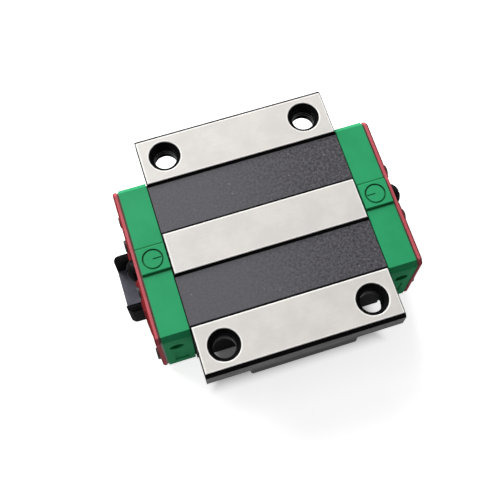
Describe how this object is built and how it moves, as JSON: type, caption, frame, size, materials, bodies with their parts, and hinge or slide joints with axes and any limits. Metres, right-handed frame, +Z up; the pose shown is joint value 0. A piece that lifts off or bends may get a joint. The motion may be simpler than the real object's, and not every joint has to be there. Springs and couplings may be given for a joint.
{
  "type": "flanged linear guide block",
  "caption": "Flanged recirculating ball linear guide block with end caps, red end seals and a plastic dummy rail that slides out.",
  "frame": {"origin": "centre of the ground mounting face on top of the block", "axes": "+X along the travel, +Y across it, +Z up out of the mounting face; the block stands on the undersides of its legs at z = -0.036"},
  "size_m": [0.1043, 0.09, 0.036],
  "materials": {
    "block_steel": "ground, with darker bands",
    "cap_plastic": "moulded satin green",
    "seal_red": "moulded satin red",
    "plate_steel": "dark",
    "plug_plastic": "black",
    "screw_steel": "black oxide",
    "dummy_plastic": "moulded black",
    "retainer_plastic": "moulded dark grey",
    "guide_plastic": "natural moulded",
    "seal_black": "moulded black",
    "ball_steel": "polished"
  },
  "bodies": {
    "block": {"balls_lower_far": "ball_steel", "balls_lower_near": "ball_steel", "balls_upper_far": "ball_steel", "balls_upper_near": "ball_steel", "bottom_seal_far": "seal_black", "bottom_seal_near": "seal_black", "cap_screws_left": "screw_steel", "cap_screws_right": "screw_steel", "end_cap_left": "cap_plastic", "end_cap_right": "cap_plastic", "end_seal_left": "seal_red", "end_seal_right": "seal_red", "grease_plug_left": "plug_plastic", "grease_plug_right": "plug_plastic", "lower_ball_retainer_far": "retainer_plastic", "lower_ball_retainer_near": "retainer_plastic", "return_guide_far_left": "guide_plastic", "return_guide_far_right": "guide_plastic", "return_guide_near_left": "guide_plastic", "return_guide_near_right": "guide_plastic", "seal_backing_plate_left": "plate_steel", "seal_backing_plate_right": "plate_steel", "side_ball_retainer_far": "retainer_plastic", "side_ball_retainer_near": "retainer_plastic", "steel_block": "block_steel", "top_ball_retainer": "retainer_plastic"},
    "dummy_rail": {"dummy_rail": "dummy_plastic"}
  },
  "joints": [
    {"name": "dummy_rail_slide", "type": "slide", "parent": "block", "child": "dummy_rail", "axis": [1, 0, 0], "range_m": [-0.094, 0.103]}
  ]
}
